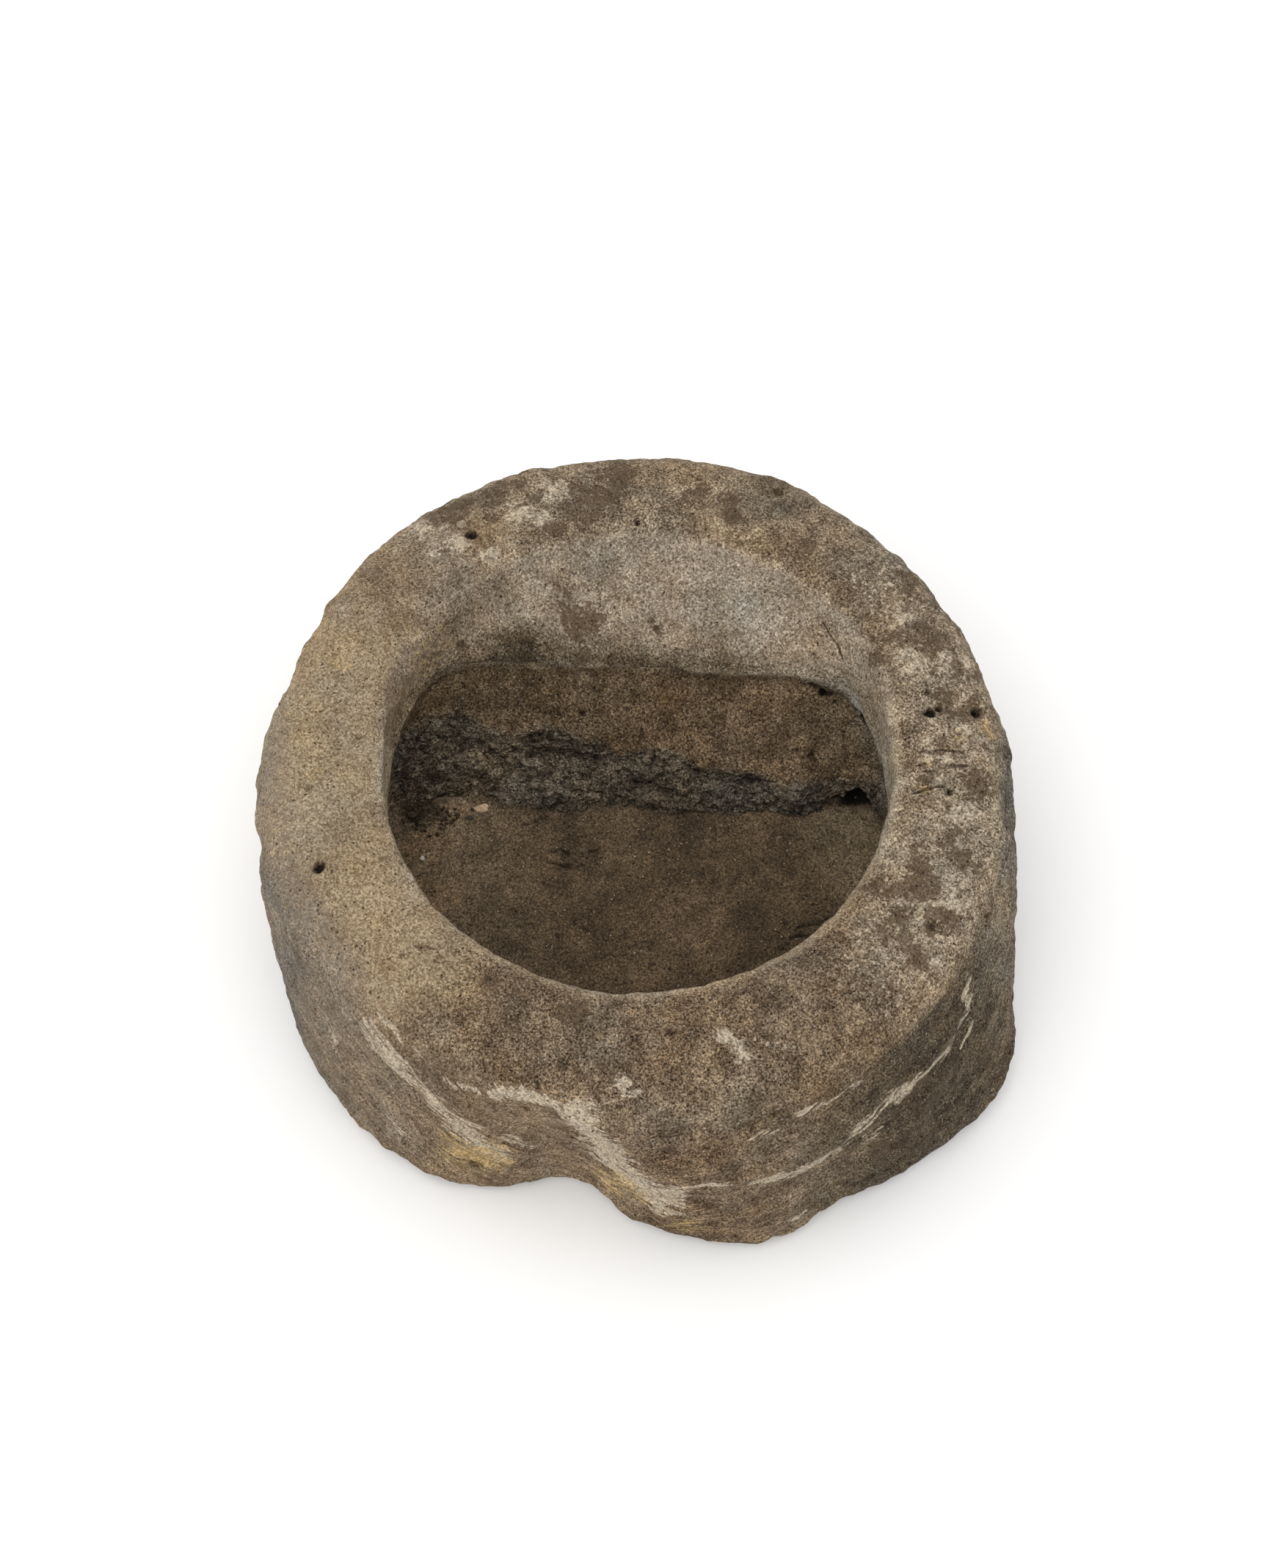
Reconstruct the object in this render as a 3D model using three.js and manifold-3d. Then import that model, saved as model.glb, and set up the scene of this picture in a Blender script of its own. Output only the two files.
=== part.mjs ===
import * as THREE from 'three';
import { mergeVertices } from 'three/addons/utils/BufferGeometryUtils.js';
import Module from 'manifold-3d';

// Molcajete: a large old mortar hollowed out of one boulder. It stands straight on its flattened
// underside, without legs. The hollow has a D-shaped bottom: its back slopes down in two stages
// to a straight foot, and its other walls are steep. Packed silt covers the stone floor.
// Millimetres, +Z up, front towards -Y. The origin is on the ground in the middle of the bounding box.

// Driving dimensions.
const HEIGHT = 170;            // ground to the crown of the rim
const MOUTH_Y = 20;            // the mouth's centre lies this far behind the boulder's own centre
const STONE_FLOOR_Z = 40;      // carved bottom of the hollow
const SILT_TOP_Z = 54;         // packed silt on that bottom
const GAP = 0.3;               // between touching pieces

// Heights on the outside of the boulder.
const BASE_EDGE_Z = 16;        // where the rounded foot edge meets the wall
const GIRDLE_Z = 98;
const SHOULDER_Z = HEIGHT - 26;
const BASE_ROUNDING = 14;      // how far the flat underside stays inside the base outline
const LIP_DROP = 5;            // from the crown to the worn inner edge of the mouth

// Heights in the hollow.
const BAND_Z = 146;            // middle of the upper slope of the back wall
const CREASE_Z = 122;          // ledge between the two stages of the back wall
const CREASE_STEP = 5;         // the lower stage starts this far behind and below the ledge
const ROUGH_Z = 76;            // top of the rough-picked strip along the foot

// Mesh fineness.
const BEARINGS = 96;
const STEPS_PER_SPAN = 2;

const RAD = Math.PI / 180;

// A closed outline through [bearing in degrees, radius] pairs, the first at bearing 0.
function outline(...points) {
  const count = points.length;
  const at = (i) => {
    const turns = Math.floor(i / count);
    const [bearing, radius] = points[i - turns * count];
    return [bearing + 360 * turns, radius];
  };
  const slope = (i) => {
    const [b0, r0] = at(i - 1);
    const [b1, r1] = at(i + 1);
    return (r1 - r0) / (b1 - b0);
  };
  return (bearing) => {
    let i = count - 1;
    while (at(i)[0] > bearing) i -= 1;
    const [b0, r0] = at(i);
    const [b1, r1] = at(i + 1);
    const width = b1 - b0;
    const t = (bearing - b0) / width;
    const s = t * t * (3 - 2 * t);
    const easeIn = t * (1 - t) * (1 - t) * width;
    const easeOut = t * t * (t - 1) * width;
    return r0 + (r1 - r0) * s + easeIn * slope(i) + easeOut * slope(i + 1);
  };
}

// Outlines of the boulder about its own centre. In front two lobes, left and right, flank a
// hollow flute at bearing 256; the right-hand lobe runs on into a corner at bearing 325.
const baseOutline = outline(
  [0, 249], [22, 243], [45, 242], [90, 246], [135, 241], [158, 238], [180, 240], [198, 244],
  [212, 251], [226, 248], [237, 245], [245, 236], [251, 226], [256, 212], [261, 214], [268, 228],
  [276, 248], [288, 263], [300, 259], [309, 268], [318, 277], [328, 279], [338, 270], [348, 256],
);
const girdleOutline = outline(
  [0, 245], [22, 246], [45, 254], [90, 266], [112, 265], [135, 259], [158, 247], [180, 245],
  [198, 246], [212, 244], [226, 239], [238, 236], [247, 227], [255, 211], [260, 214], [267, 230],
  [276, 247], [288, 254], [300, 251], [315, 253], [330, 256], [345, 249],
);
const shoulderOutline = outline(
  [0, 239], [22, 246], [45, 255], [68, 264], [112, 263], [135, 258], [158, 245], [180, 243],
  [200, 239], [215, 234], [230, 229], [245, 227], [256, 224], [268, 231], [285, 236], [320, 239],
);

// Outlines in the hollow. Each is taken about a centre that moves forward with depth.
const lipOutline = outline(
  [0, 163], [33, 168], [50, 165], [80, 160], [97, 164], [119, 166], [140, 172], [160, 167],
  [180, 160], [203, 165], [222, 168], [232, 165], [252, 167], [290, 165], [300, 169], [323, 168],
);

// The hollow's plan at one level: a circle about y = middle, cut off behind by the back wall,
// which runs straight across at y = back and is turned by tilt degrees. Bearings and radii are
// taken about y = centreY, and CORNER_SHARPNESS sets how tightly wall and circle meet.
const CORNER_SHARPNESS = 14;
function hollowRadius({ radius, middle, centreY, back, tilt }, bearing) {
  const offset = middle - centreY;
  const forward = offset * Math.cos(bearing * RAD);
  const round = offset * Math.sin(bearing * RAD) + Math.sqrt(radius ** 2 - forward ** 2);
  const facing = Math.sin((bearing - tilt) * RAD);
  if (facing <= 0.05) return round;
  const straight = (back - centreY) / facing;
  return (round ** -CORNER_SHARPNESS + straight ** -CORNER_SHARPNESS) ** (-1 / CORNER_SHARPNESS);
}

const hollowLevel = (z, radius, middle, centreY, back, tilt) => (
  { z, radius, middle, centreY, back, tilt }
);
const slope = hollowLevel(HEIGHT - 3 * LIP_DROP, 163, MOUTH_Y, MOUTH_Y, 168, -2);
const band = hollowLevel(BAND_Z, 163, 17, 17, 148, -2);
const crease = hollowLevel(CREASE_Z, 162, 15, 8, 108, -3);
const creaseRoot = hollowLevel(CREASE_Z - CREASE_STEP, 164, 16, 4, 108 + CREASE_STEP, -3);
const panel = hollowLevel(98, 168, 18, -10, 93, -4);
const rough = hollowLevel(ROUGH_Z, 171, MOUTH_Y, -24, 72, -5);
const foot = hollowLevel(SILT_TOP_Z + 2, 172, MOUTH_Y, -42, 46, 0);
const floorEdge = { ...foot, z: STONE_FLOOR_Z };

function pointAt(radius, bearing, centreY, z) {
  return new THREE.Vector3(
    radius * Math.cos(bearing * RAD),
    centreY + radius * Math.sin(bearing * RAD),
    z,
  );
}

function ringOf(radiusAt, centreY, z) {
  const ring = [];
  for (let j = 0; j < BEARINGS; j += 1) {
    const bearing = (360 * j) / BEARINGS;
    ring.push(pointAt(radiusAt(bearing), bearing, centreY, z));
  }
  return ring;
}

const hollowRing = (level, inset = 0) => (
  ringOf((bearing) => hollowRadius(level, bearing) - inset, level.centreY, level.z)
);

// A ring between two others, part of the way from the first to the second, at height z.
function between(first, second, part, z) {
  return first.map((point, j) => point.clone().lerp(second[j], part).setZ(z));
}

// Rings through the key rings, smooth along each bearing.
function smoothRings(keys, steps) {
  const columns = keys[0].map((_, j) => new THREE.CatmullRomCurve3(keys.map((ring) => ring[j])));
  const rings = [];
  const last = (keys.length - 1) * steps;
  for (let i = 0; i <= last; i += 1) {
    rings.push(columns.map((curve) => curve.getPoint(i / last)));
  }
  return rings;
}

// A closed body over rings that run round anticlockwise seen from above, with a flat cap below
// the first ring and one on the last.
function closedLoft(rings) {
  const around = rings[0].length;
  const middle = (ring) => {
    const sum = ring.reduce((total, point) => total.add(point), new THREE.Vector3());
    return sum.divideScalar(around);
  };
  const points = [...rings.flat(), middle(rings[0]), middle(rings[rings.length - 1])];
  const firstPole = points.length - 2;
  const lastPole = points.length - 1;
  const index = [];
  for (let j = 0; j < around; j += 1) {
    const next = (j + 1) % around;
    index.push(firstPole, next, j);
    for (let i = 0; i + 1 < rings.length; i += 1) {
      const low = i * around;
      const high = low + around;
      index.push(low + j, low + next, high + next);
      index.push(low + j, high + next, high + j);
    }
    const top = (rings.length - 1) * around;
    index.push(lastPole, top + j, top + next);
  }
  const geometry = new THREE.BufferGeometry().setFromPoints(points);
  geometry.setIndex(index);
  return geometry;
}

// The boulder: up the outside, over the rim and down into the hollow.
function boulderGeometry() {
  const base = (inset, z) => ringOf((bearing) => baseOutline(bearing) - inset, 0, z);
  const shoulder = (inset, z) => ringOf((bearing) => shoulderOutline(bearing) - inset, 0, z);
  const lip = (widen, z) => ringOf((bearing) => lipOutline(bearing) + widen, MOUTH_Y, z);
  const keys = [
    base(BASE_ROUNDING, 0),
    base(BASE_ROUNDING * 0.3, BASE_EDGE_Z * 0.3),
    base(0, BASE_EDGE_Z),
    ringOf(girdleOutline, 0, GIRDLE_Z),
    shoulder(0, SHOULDER_Z),
    shoulder(12, HEIGHT - 8),
    between(shoulder(12, 0), lip(0, 0), 0.3, HEIGHT - 1.5),
    between(shoulder(12, 0), lip(0, 0), 0.75, HEIGHT),
    lip(1.5, HEIGHT - LIP_DROP),
    hollowRing(slope),
    hollowRing(band),
    hollowRing(crease),
    hollowRing(creaseRoot),
    hollowRing(panel),
    hollowRing(rough),
    hollowRing(foot),
  ];
  return closedLoft([...smoothRings(keys, STEPS_PER_SPAN), hollowRing(floorEdge)]);
}

// Packed silt: a slab that fills the bottom of the hollow up to a level top.
const SILT_INSET = 2 * GAP;    // measured along the bearing, so about GAP square to the wall
function siltGeometry() {
  const level = (z, inset) => hollowRing({ ...foot, z }, SILT_INSET + inset);
  return closedLoft([
    level(STONE_FLOOR_Z + GAP, 0),
    level(SILT_TOP_Z - 1.5, 0),
    level(SILT_TOP_Z, 1.5),
  ]);
}

// A small worn stone, long by wide by high, with a flattened underside at z = 0.
const PEBBLE_DETAIL = 2;
function pebbleGeometry(long, wide, high, lumpiness, phase) {
  const ball = new THREE.IcosahedronGeometry(1, PEBBLE_DETAIL);
  ball.deleteAttribute('normal');
  ball.deleteAttribute('uv');
  const geometry = mergeVertices(ball, 1e-4);
  const position = geometry.attributes.position;
  for (let i = 0; i < position.count; i += 1) {
    const point = new THREE.Vector3().fromBufferAttribute(position, i);
    const wave = Math.sin(3.1 * point.x + phase) + Math.sin(4.3 * point.y - 2 * phase)
      + Math.sin(3.7 * point.z + 3 * phase);
    point.multiplyScalar(1 + (lumpiness * wave) / 3);
    const height = Math.max(point.z, -0.7) + 0.7;
    position.setXYZ(i, (point.x * long) / 2, (point.y * wide) / 2, (height * high) / 1.7);
  }
  return geometry;
}

// The loose chip: a thin plate with a broken outline, pointed at one end and square at the other.
const CHIP_LENGTH = 11.5;
const CHIP_WIDTH = 7;
const CHIP_THICKNESS = 2.4;
function chipGeometry() {
  const broken = [
    [-0.5, 0.05], [-0.32, -0.22], [-0.1, -0.4], [0.14, -0.5], [0.36, -0.44], [0.46, -0.3],
    [0.4, -0.08], [0.5, 0.16], [0.42, 0.46], [0.2, 0.5], [0.06, 0.36], [-0.2, 0.24],
  ];
  const ring = (size, z) => broken.map(([x, y]) => (
    new THREE.Vector3(x * size * CHIP_LENGTH, y * size * CHIP_WIDTH, z)
  ));
  return closedLoft([
    ring(0.92, 0),
    ring(1, CHIP_THICKNESS * 0.45),
    ring(0.94, CHIP_THICKNESS * 0.8),
    ring(0.8, CHIP_THICKNESS),
  ]);
}

// The light pebble held in the matrix at the back left of the rim, and the boulder with the
// socket that holds it.
const RIM_PEBBLE = { long: 8.5, wide: 6.5, high: 7, x: -117, y: 193, proud: 1.6 };

const wasm = await Module();
wasm.setup();

function toSolid(geometry) {
  const merged = mergeVertices(geometry, 1e-4);
  return new wasm.Manifold(new wasm.Mesh({
    numProp: 3,
    vertProperties: new Float32Array(merged.attributes.position.array),
    triVerts: new Uint32Array(merged.index.array),
  }));
}

function toGeometry(solid) {
  const { vertProperties, triVerts } = solid.getMesh();
  const geometry = new THREE.BufferGeometry();
  geometry.setAttribute('position', new THREE.BufferAttribute(vertProperties, 3));
  geometry.setIndex(new THREE.BufferAttribute(triVerts, 1));
  return geometry;
}

function rimPebbleGeometry(grow) {
  const { long, wide, high, x, y, proud } = RIM_PEBBLE;
  const geometry = pebbleGeometry(long + 2 * grow, wide + 2 * grow, high + 2 * grow, 0.12, 1.7);
  return geometry.translate(x, y, HEIGHT + proud - high - grow);
}

function material(color, roughness) {
  return new THREE.MeshStandardMaterial({ color, roughness, metalness: 0 });
}

const stone = material('#8b7d68', 0.95);
const silt = material('#5b4d3e', 1);
const buffStone = material('#b09476', 0.95);
const paleStone = material('#c2b9a8', 0.9);
const darkStone = material('#3b352f', 0.95);
const crumbSoil = material('#463b32', 1);

function named(name, geometry, look, x = 0, y = 0, z = 0, turn = 0) {
  const mesh = new THREE.Mesh(geometry, look);
  mesh.name = name;
  mesh.position.set(x, y, z);
  mesh.rotation.z = turn * RAD;
  return mesh;
}

const boulder = toSolid(boulderGeometry()).subtract(toSolid(rimPebbleGeometry(GAP)));
const molcajete = new THREE.Group();
molcajete.add(
  named('stone_body', toGeometry(boulder), stone),
  named('rim_pebble', rimPebbleGeometry(0), paleStone),
  named('silt_bed', siltGeometry(), silt),
);

// Loose pieces lie on the silt, near the left end of the foot of the back wall.
const REST_Z = SILT_TOP_Z + GAP;
molcajete.add(
  named('stone_chip', chipGeometry(), buffStone, -106, 39, REST_Z, 4),
  named('dark_pebble', pebbleGeometry(3.6, 3.2, 2.6, 0.15, 0.4), darkStone, -113, 32, REST_Z),
  named('white_pebble', pebbleGeometry(3.4, 3, 2.6, 0.2, 2.1), paleStone, -144, 1, REST_Z),
  named('buff_pebble', pebbleGeometry(3.8, 3, 2.4, 0.2, 3.3), buffStone, -117, 44, REST_Z, 20),
);
const crumbs = [[-152, 34, 5], [-144, 39, 4], [-147, 28, 3.5], [-136, 41, 4.5], [-139, 32, 3]];
crumbs.forEach(([x, y, size], i) => {
  const geometry = pebbleGeometry(size, size * 0.85, size * 0.6, 0.3, 1.3 * i);
  molcajete.add(named(`soil_crumb_${i + 1}`, geometry, crumbSoil, x, y, REST_Z, 40 * i));
});

// The model's origin is the middle of its footprint.
const bounds = new THREE.Box3().setFromObject(molcajete);
const middle = bounds.getCenter(new THREE.Vector3());
molcajete.position.set(-middle.x, -middle.y, -bounds.min.z);

export default molcajete;
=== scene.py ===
import math

import bmesh
import bpy
import numpy as np
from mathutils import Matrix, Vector


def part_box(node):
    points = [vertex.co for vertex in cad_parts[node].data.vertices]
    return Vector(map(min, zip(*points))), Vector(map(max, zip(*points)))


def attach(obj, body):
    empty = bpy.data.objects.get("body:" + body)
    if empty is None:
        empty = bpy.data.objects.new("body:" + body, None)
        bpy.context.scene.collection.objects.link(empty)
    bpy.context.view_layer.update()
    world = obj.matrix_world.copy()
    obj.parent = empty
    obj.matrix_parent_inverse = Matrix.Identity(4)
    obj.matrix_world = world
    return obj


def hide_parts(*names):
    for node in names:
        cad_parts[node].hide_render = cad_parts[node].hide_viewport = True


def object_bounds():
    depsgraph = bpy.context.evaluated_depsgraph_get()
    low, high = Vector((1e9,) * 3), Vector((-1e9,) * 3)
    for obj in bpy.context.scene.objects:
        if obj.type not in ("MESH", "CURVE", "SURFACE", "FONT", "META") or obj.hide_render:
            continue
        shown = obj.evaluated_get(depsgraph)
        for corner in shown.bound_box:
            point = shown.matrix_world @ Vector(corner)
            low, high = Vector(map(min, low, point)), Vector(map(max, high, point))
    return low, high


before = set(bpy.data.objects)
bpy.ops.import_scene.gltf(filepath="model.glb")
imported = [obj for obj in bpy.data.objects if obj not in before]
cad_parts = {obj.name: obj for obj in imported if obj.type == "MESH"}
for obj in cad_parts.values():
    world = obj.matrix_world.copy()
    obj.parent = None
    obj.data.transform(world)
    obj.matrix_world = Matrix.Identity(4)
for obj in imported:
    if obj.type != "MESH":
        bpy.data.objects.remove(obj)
CAD_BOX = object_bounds()

# ---- places and sizes, in metres

MM = 0.001
MOUTH = Vector((-3 * MM, 12.3 * MM, 0))  # the middle of the mouth, seen from above
LIP_RADIUS = 165 * MM
RIM_Z = CAD_BOX[1].z - 2 * MM
SILT_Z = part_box("silt_bed")[1].z
GROUND_Z = CAD_BOX[0].z
STONE_VOXEL = 2 * MM

# The camera stands in front of the boulder and looks down into its mouth.
CAMERA_ELEVATION = math.radians(61)
CAMERA_DISTANCE = 1.581
CAMERA_TARGET = Vector((-3 * MM, -7.7 * MM, RIM_Z - 10 * MM))
CAMERA_LENS = 57.3

# ---- noise on points


def numbers(cell, seed):
    """Three repeatable numbers from 0 to 1 for each row of whole numbers."""
    key = cell.astype(np.uint32)
    mixed = key[:, 0] * np.uint32(73856093) ^ key[:, 1] * np.uint32(19349663)
    mixed ^= key[:, 2] * np.uint32(83492791) ^ np.uint32((seed + 1) * 2654435761 & 0xFFFFFFFF)
    mixed ^= mixed >> 15
    mixed *= np.uint32(739982445)
    mixed ^= mixed >> 12
    mixed *= np.uint32(695872825)
    mixed ^= mixed >> 15
    parts = np.stack([mixed & 1023, mixed >> 10 & 1023, mixed >> 20 & 1023], 1)
    return parts.astype(np.float32) / 1023


CORNERS = [np.array((i, j, k)) for i in (0, 1) for j in (0, 1) for k in (0, 1)]
AROUND = [np.array((i, j, k)) for i in (-1, 0, 1) for j in (-1, 0, 1) for k in (-1, 0, 1)]


def noise(points, size, seed=0):
    """Smooth noise from about -1 to 1 with lumps of the given size."""
    scaled = points / size
    cell = np.floor(scaled).astype(np.int32)
    part = (scaled - cell).astype(np.float32)
    fade = part ** 3 * (part * (part * 6 - 15) + 10)
    total = np.zeros(len(points), np.float32)
    for corner in CORNERS:
        near = np.where(corner, fade, 1 - fade)
        weight = near[:, 0] * near[:, 1] * near[:, 2]
        slope = numbers(cell + corner, seed) - np.float32(0.5)
        total += weight * np.einsum("ij,ij->i", part - corner.astype(np.float32), slope)
    return total * 2.6


def layered(points, size, seed=0, layers=4, fall=0.5):
    """Noise in layers, each half as large as the one before."""
    total = np.zeros(len(points))
    for layer in range(layers):
        total += fall ** layer * noise(points, size / 2 ** layer, seed + 17 * layer)
    return total


def cells(points, size, seed=0):
    """Distance to the nearest of scattered points, in cell sizes, and that point's number."""
    scaled = points / size
    cell = np.floor(scaled).astype(np.int32)
    nearest = np.full(len(points), 9.0)
    owner = cell.copy()
    for step in AROUND:
        near = cell + step
        away = scaled - near - numbers(near, seed)
        distance = np.einsum("ij,ij->i", away, away)
        closer = distance < nearest
        nearest[closer] = distance[closer]
        owner[closer] = near[closer]
    return np.sqrt(nearest), numbers(owner, seed + 1)[:, 0]


def ramp(value, low, high):
    """0 at low, 1 at high, smooth between; low may be above high."""
    part = np.clip((value - low) / (high - low), 0, 1)
    return part * part * (3 - 2 * part)


def line_distance(points, ends):
    """How far each point is from a line of straight stretches through the ends."""
    nearest = np.full(len(points), 1e9)
    for start, end in zip(ends, ends[1:]):
        start, run = np.array(start, float), np.subtract(end, start, dtype=float)
        share = np.clip((points - start) @ run / (run ** 2).sum(), 0, 1)
        away = np.linalg.norm(points - start - share[:, None] * run, axis=1)
        nearest = np.minimum(nearest, away)
    return nearest


def wheel_faces(spokes, rings):
    """The faces that join a middle point, which is number 0, and the rings of points round it."""
    faces = []
    for spoke in range(spokes):
        after = (spoke + 1) % spokes
        faces.append((0, 1 + spoke, 1 + after))
        for low in range(1, 1 + (rings - 1) * spokes, spokes):
            faces.append((low + spoke, low + spokes + spoke, low + spokes + after, low + after))
    return faces


# ---- fine meshes of the CAD shapes


def new_object(name, data):
    """An object in the scene, made of a mesh, a light or a camera."""
    added = bpy.data.objects.new(name, data)
    bpy.context.collection.objects.link(added)
    return added


def new_mesh(name, points, faces):
    """A mesh from lists of places and of point numbers."""
    mesh = bpy.data.meshes.new(name)
    mesh.from_pydata(points, [], faces)
    mesh.update()
    return mesh


def dress(mesh, material):
    """Gives a mesh its one material, and smooth shading."""
    mesh.materials.clear()
    mesh.materials.append(material)
    mesh.polygons.foreach_set("use_smooth", [True] * len(mesh.polygons))


def evaluated_copy(mesh, modifiers):
    """A new mesh: the given one after a list of (type, settings) modifiers."""
    work = new_object("work", mesh)
    for kind, settings in modifiers:
        modifier = work.modifiers.new(kind.lower(), kind)
        for name, value in settings.items():
            setattr(modifier, name, value)
    graph = bpy.context.evaluated_depsgraph_get()
    result = bpy.data.meshes.new_from_object(work.evaluated_get(graph), depsgraph=graph)
    bpy.data.objects.remove(work)
    return result


def merged_copy(node):
    """The CAD node's mesh with its points merged and its triangle pairs joined to quads."""
    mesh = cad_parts[node].data.copy()
    bm = bmesh.new()
    bm.from_mesh(mesh)
    bmesh.ops.remove_doubles(bm, verts=bm.verts, dist=1e-6)
    limits = {"angle_face_threshold": 0.7, "angle_shape_threshold": 3.1}
    bmesh.ops.join_triangles(bm, faces=bm.faces, **limits)
    bm.to_mesh(mesh)
    bm.free()
    return mesh


def fine_mesh(node, voxel):
    """An even, rounded mesh of a CAD node, fine enough to carve."""
    even = {"mode": "VOXEL", "voxel_size": voxel}
    return evaluated_copy(merged_copy(node), [("SUBSURF", {"levels": 2}), ("REMESH", even)])


def refine_where(mesh, chosen):
    """Cuts the faces whose corners are all chosen into four."""
    bm = bmesh.new()
    bm.from_mesh(mesh)
    edges = [e for e in bm.edges if chosen[e.verts[0].index] and chosen[e.verts[1].index]]
    bmesh.ops.subdivide_edges(bm, edges=edges, cuts=1, use_grid_fill=True)
    bm.to_mesh(mesh)
    bm.free()


def points_of(mesh, kind="co"):
    """The place of each point of a mesh, or its normal when kind is "normal"."""
    flat = np.empty(len(mesh.vertices) * 3, np.float32)
    mesh.vertices.foreach_get(kind, flat)
    return flat.reshape(-1, 3).astype(np.float64)


def set_points(mesh, points):
    """Moves the points of a mesh to new places."""
    mesh.vertices.foreach_set("co", points.astype(np.float32).ravel())
    mesh.update()


def set_masks(mesh, **masks):
    """Numbers for each point, which the material reads by their names."""
    for name, values in masks.items():
        attribute = mesh.attributes.new(name, "FLOAT", "POINT")
        attribute.data.foreach_set("value", np.clip(values, 0, 2).astype(np.float32))


def set_tone(mesh, colours):
    """A colour for each point, which the material reads as its tone."""
    attribute = mesh.attributes.new("tone", "FLOAT_COLOR", "POINT")
    rgba = np.concatenate([colours, np.ones((len(colours), 1))], 1)
    attribute.data.foreach_set("color", rgba.astype(np.float32).ravel())


def add_piece(name, mesh, material, replaced):
    """A finished piece that rides on the one body and stands for the replaced CAD nodes."""
    dress(mesh, material)
    piece = new_object(name, mesh)
    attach(piece, "root")
    if replaced:
        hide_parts(*replaced)


# ---- places on the boulder


# The beds of the rock climb to both sides: the x where a climb starts, in mm, and its slope.
RIGHT_CLIMB = (-10, 0.34)
LEFT_CLIMB = (-60, 0.8)


class Place:
    """Where each point lies on the boulder, in mm and degrees, and in which of its zones."""

    def __init__(self, points):
        self.points = points
        self.x, self.y, self.z = (points / MM).T
        across = (points[:, 0] - MOUTH.x) / MM
        along = (points[:, 1] - MOUTH.y) / MM
        self.radius = np.hypot(across, along)
        self.bearing = np.degrees(np.arctan2(along, across)) % 360
        top = RIM_Z / MM
        lip = LIP_RADIUS / MM
        self.hollow = ramp(self.radius, lip + 9, lip - 1) * ramp(self.z, top - 1, top - 6)
        self.hollow = np.maximum(self.hollow, (self.radius < lip + 12) & (self.z < top - 20))
        self.outside = ramp(self.radius, lip + 16, lip + 38) * ramp(self.z, top - 6, top - 24)
        self.rim = np.clip(1 - self.hollow - self.outside, 0, 1)
        self.bed = self.z - RIGHT_CLIMB[1] * np.maximum(self.x - RIGHT_CLIMB[0], 0)
        self.bed -= LEFT_CLIMB[1] * np.maximum(LEFT_CLIMB[0] - self.x, 0)

    def sector(self, start, end, soft, drift=0):
        """1 between two bearings, taken anticlockwise, and 0 outside them."""
        half = (end - start) % 360 / 2
        away = np.abs((self.bearing + drift - start - half + 180) % 360 - 180)
        return ramp(away, half + soft, half - soft)

    def spots(self, spots, outer, inner, wobble=1):
        """The strongest of some spots: x, y, z and size, and a strength if it isn't 1.

        outer and inner are the shares of the size where a spot ends and where it is full.
        """
        total = np.zeros(len(self.points))
        for x, y, z, size, *strength in spots:
            away = np.linalg.norm(self.points / MM - (x, y, z), axis=1) * wobble
            here = math.prod(strength) * ramp(away, size * outer, size * inner)
            total = np.maximum(total, here)
        return total

    def line(self, ends, width, soft=0.5, wander=0.0):
        """1 along a line, which may wander by some mm, and 0 well beyond its half width."""
        low = np.min(ends, 0) - 3 * width - 3 * wander
        high = np.max(ends, 0) + 3 * width + 3 * wander
        here = self.points / MM
        near = ((here > low) & (here < high)).all(1)
        here = here[near]
        if wander:
            drift = [layered(here * MM, 0.018, 90 + axis, 3) for axis in range(3)]
            here = here + 2.5 * wander * np.stack(drift, 1)
        result = np.zeros(len(self.points))
        result[near] = ramp(line_distance(here, ends), width * (1 + soft), width * (1 - soft))
        return result


# ---- carving the boulder

# Gas holes and knocks that stand out: x, y, z, radius and depth, in mm.
PITS = [
    (-201, -71, 169, 4.0, 7), (-160, -66, 169, 1.8, 2), (-158, -145, 168, 2.0, 2),
    (-208, -16, 169, 2.2, 2), (-3, 188, 169, 2.8, 4), (-113, 177, 170, 4.2, 5),
    (-117, 203, 168, 2.4, 2), (184, 40, 170, 4.2, 6), (190, 43, 169, 3.0, 4),
    (183, 54, 170, 2.6, 3), (216, 43, 165, 4.0, 6), (194, -18, 170, 2.4, 4),
    (50, -196, 169, 3.0, 2), (62, -190, 169, 2.4, 2), (17, -183, 170, 3.0, 3),
    (-14, -226, 160, 3.5, 2), (121, 89, 110, 3.0, 5), (115, 60, 78, 4.0, 5),
    (104, 62, 79, 3.0, 4), (80, 80, 96, 2.6, 3), (-40, 84, 92, 2.6, 3), (-95, 90, 100, 2.4, 3),
]

# Open cracks at the right of the hollow's wall, and then tool marks on the right of the rim:
# the ends of each line and its half width, in mm.
CRACKS = [
    ([(120, 118, 152), (128, 104, 146), (135, 91, 140)], 0.45),
    ([(112, 113, 143), (116, 109, 141)], 0.5),
    ([(114, 94, 114), (122, 90, 111), (126, 89, 110)], 1.1),
    ([(129, 84, 108), (134, 80, 107)], 1.0),
    ([(147, 73, 108), (150, 68, 105), (154, 60, 104)], 0.8),
    ([(177, 10, 170), (190, 11, 170), (203, 10, 169)], 0.55),
    ([(176, 0, 170), (190, 1, 170), (208, 0, 168)], 0.7),
    ([(177, -5, 170), (190, -4, 170)], 0.4),
    ([(171, -19, 170), (180, -16, 170), (190, -15, 170)], 0.6),
    ([(184, 40, 170), (198, 42, 169), (214, 40, 166)], 0.35),
]

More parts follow.
